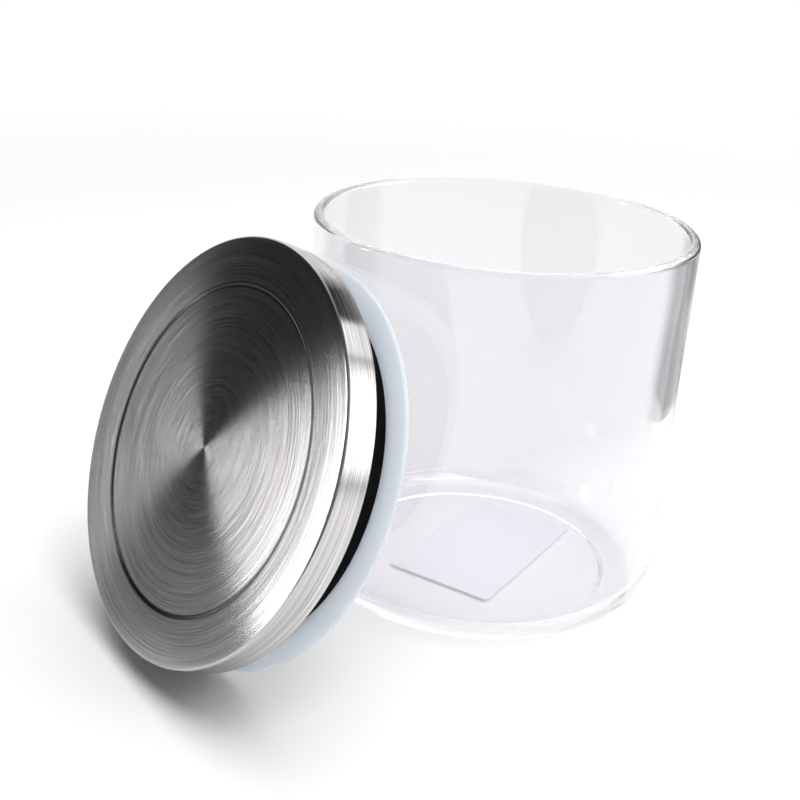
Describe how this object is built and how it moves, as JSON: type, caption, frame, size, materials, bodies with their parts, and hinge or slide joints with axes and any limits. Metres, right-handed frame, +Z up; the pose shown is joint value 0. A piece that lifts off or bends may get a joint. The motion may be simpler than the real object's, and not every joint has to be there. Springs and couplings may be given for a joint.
{
  "type": "empty candle jar",
  "caption": "Clear straight-sided glass candle jar, empty, with a round brushed steel lid that has a black plug and a silicone seal and leans on the wall.",
  "frame": {"origin": "centre of the jar's foot, on the surface it stands on", "axes": "+Z up the jar's axis to its mouth, -Y towards the leaning lid, +X along the line the lid tips about"},
  "size_m": [0.0982, 0.15, 0.096],
  "materials": {
    "clear_glass": "clear, fire-polished rim, faint yellow-green at the edges",
    "label_film": "blank white film, semi-matte",
    "brushed_steel": "circular brushed on the face, brushed round the skirt",
    "pad_foam": "fine closed-cell foam",
    "plug_plastic": "black moulded plastic, satin gloss",
    "seal_silicone": "translucent milky silicone, soft satin"
  },
  "bodies": {
    "jar": {"jar": "clear_glass", "base_label": "label_film"},
    "lid": {"lid_cover": "brushed_steel", "cover_pad": "pad_foam", "lid_plug": "plug_plastic", "seal_ring": "seal_silicone"}
  },
  "joints": [
    {"name": "lid_tip", "type": "hinge", "parent": "jar", "child": "lid", "pos_m": [0, -0.10526, 0], "axis": [1, 0, 0], "range_deg": [0, 113.4]}
  ]
}
